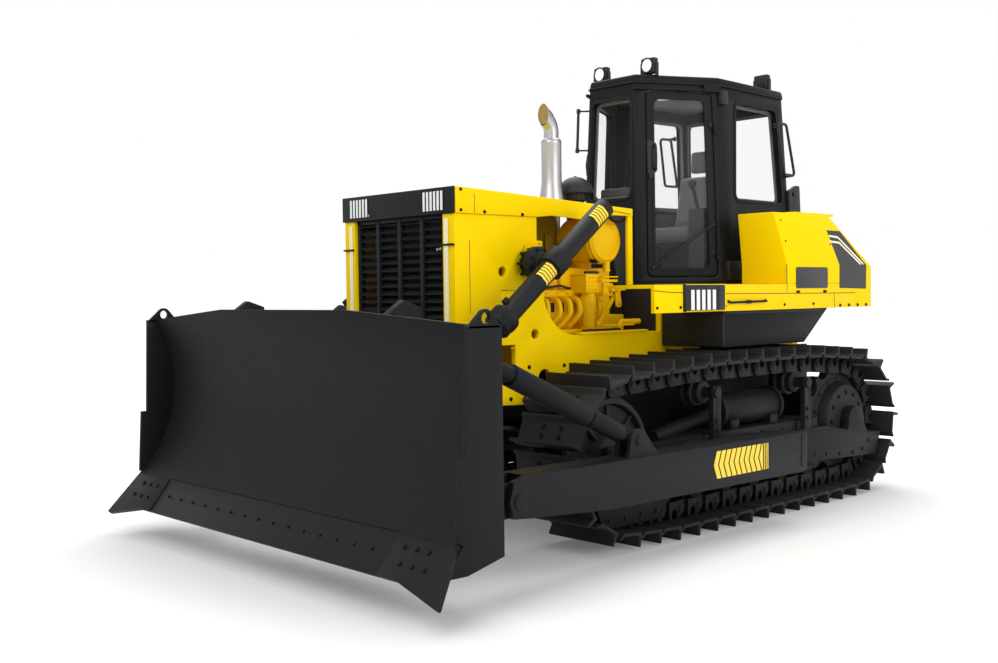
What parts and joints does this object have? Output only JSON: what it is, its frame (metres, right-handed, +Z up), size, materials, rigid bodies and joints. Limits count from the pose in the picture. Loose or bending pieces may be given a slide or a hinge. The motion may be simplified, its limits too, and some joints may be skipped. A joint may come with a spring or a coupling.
{
  "type": "crawler bulldozer",
  "caption": "Crawler dozer with a raised straight blade on outside push arms, lift cylinders, cab, hood, tanks and fixed tracks.",
  "frame": {"origin": "on the ground under the middle of the bounding box", "axes": "+X forward along the tracks, +Y to the machine's left, +Z up"},
  "size_m": [5.5695, 3.65, 3.501],
  "materials": {
    "yellow_paint": "gloss industrial yellow paint",
    "black_paint": "satin charcoal paint",
    "track_steel": "matt dark painted steel",
    "edge_steel": "painted hardened steel, worn at the edge",
    "bright_steel": "brushed stainless",
    "seat_cloth": "woven grey cloth",
    "cab_plastic": "grained black plastic",
    "window_glass": "clear safety glass",
    "rod_chrome": "hard chrome",
    "lamp_black": "black lamp housing"
  },
  "bodies": {
    "tractor": {"track_left": "track_steel", "track_right": "track_steel", "sprockets": "track_steel", "idlers": "track_steel", "track_rollers": "track_steel", "carrier_rollers": "track_steel", "track_frames": "black_paint", "final_drives": "black_paint", "equalizer_bar": "black_paint", "main_frame": "yellow_paint", "transmission_case": "black_paint", "engine_block": "yellow_paint", "radiator_guard": "yellow_paint", "grille": "black_paint", "radiator_core": "black_paint", "hood": "yellow_paint", "hood_front_panel": "black_paint", "exhaust_stack": "bright_steel", "precleaner": "cab_plastic", "air_cleaner": "yellow_paint", "oil_filter": "yellow_paint", "dash_cowl": "black_paint", "fenders": "yellow_paint", "side_tanks": "yellow_paint", "rear_tank": "yellow_paint", "under_panels": "black_paint", "drawbar": "black_paint", "cab_shell": "black_paint", "cab_roof": "black_paint", "cab_glass": "window_glass", "seat": "seat_cloth", "console": "cab_plastic", "work_lights": "lamp_black", "handrails": "black_paint", "cylinder_yokes": "black_paint"},
    "blade": {"moldboard": "black_paint", "cutting_edges": "edge_steel", "push_arms": "black_paint", "braces": "black_paint"},
    "door_left": {"door_left": "black_paint", "door_glass_left": "window_glass"},
    "door_right": {"door_right": "black_paint", "door_glass_right": "window_glass"},
    "lift_barrel_left": {"lift_barrel_left": "black_paint"},
    "lift_rod_left": {"lift_rod_left": "rod_chrome"},
    "lift_barrel_right": {"lift_barrel_right": "black_paint"},
    "lift_rod_right": {"lift_rod_right": "rod_chrome"}
  },
  "joints": [
    {"name": "blade_lift", "type": "hinge", "parent": "tractor", "child": "blade", "pos_m": [-0.79075, 0, 0.51], "axis": [0, -1, 0], "range_deg": [-10.5, 14.5]},
    {"name": "door_left_hinge", "type": "hinge", "parent": "tractor", "child": "door_left", "pos_m": [-1.17211, 0.61041, 1.73559], "axis": [-0.0192, -0.0372, 0.9991], "range_deg": [0, 75]},
    {"name": "door_right_hinge", "type": "hinge", "parent": "tractor", "child": "door_right", "pos_m": [-1.17211, -0.61041, 1.73559], "axis": [0.0192, -0.0372, -0.9991], "range_deg": [0, 75]},
    {"name": "lift_trunnion_left", "type": "hinge", "parent": "tractor", "child": "lift_barrel_left", "pos_m": [0.92925, 0.85, 1.865], "axis": [0, -1, 0], "range_deg": [-16, 22]},
    {"name": "lift_slide_left", "type": "slide", "parent": "lift_barrel_left", "child": "lift_rod_left", "axis": [-0.7903, 0, 0.6128], "range_m": [-0.38, 0.52]},
    {"name": "lift_trunnion_right", "type": "hinge", "parent": "tractor", "child": "lift_barrel_right", "pos_m": [0.92925, -0.85, 1.865], "axis": [0, -1, 0], "range_deg": [-16, 22]},
    {"name": "lift_slide_right", "type": "slide", "parent": "lift_barrel_right", "child": "lift_rod_right", "axis": [-0.7903, 0, 0.6128], "range_m": [-0.38, 0.52]}
  ],
  "couplings": [
    {"joint": "lift_trunnion_left", "follows": "blade_lift", "ratio": 1.43},
    {"joint": "lift_slide_left", "follows": "blade_lift", "m_per_rad": 2},
    {"joint": "lift_trunnion_right", "follows": "blade_lift", "ratio": 1.43},
    {"joint": "lift_slide_right", "follows": "blade_lift", "m_per_rad": 2}
  ]
}
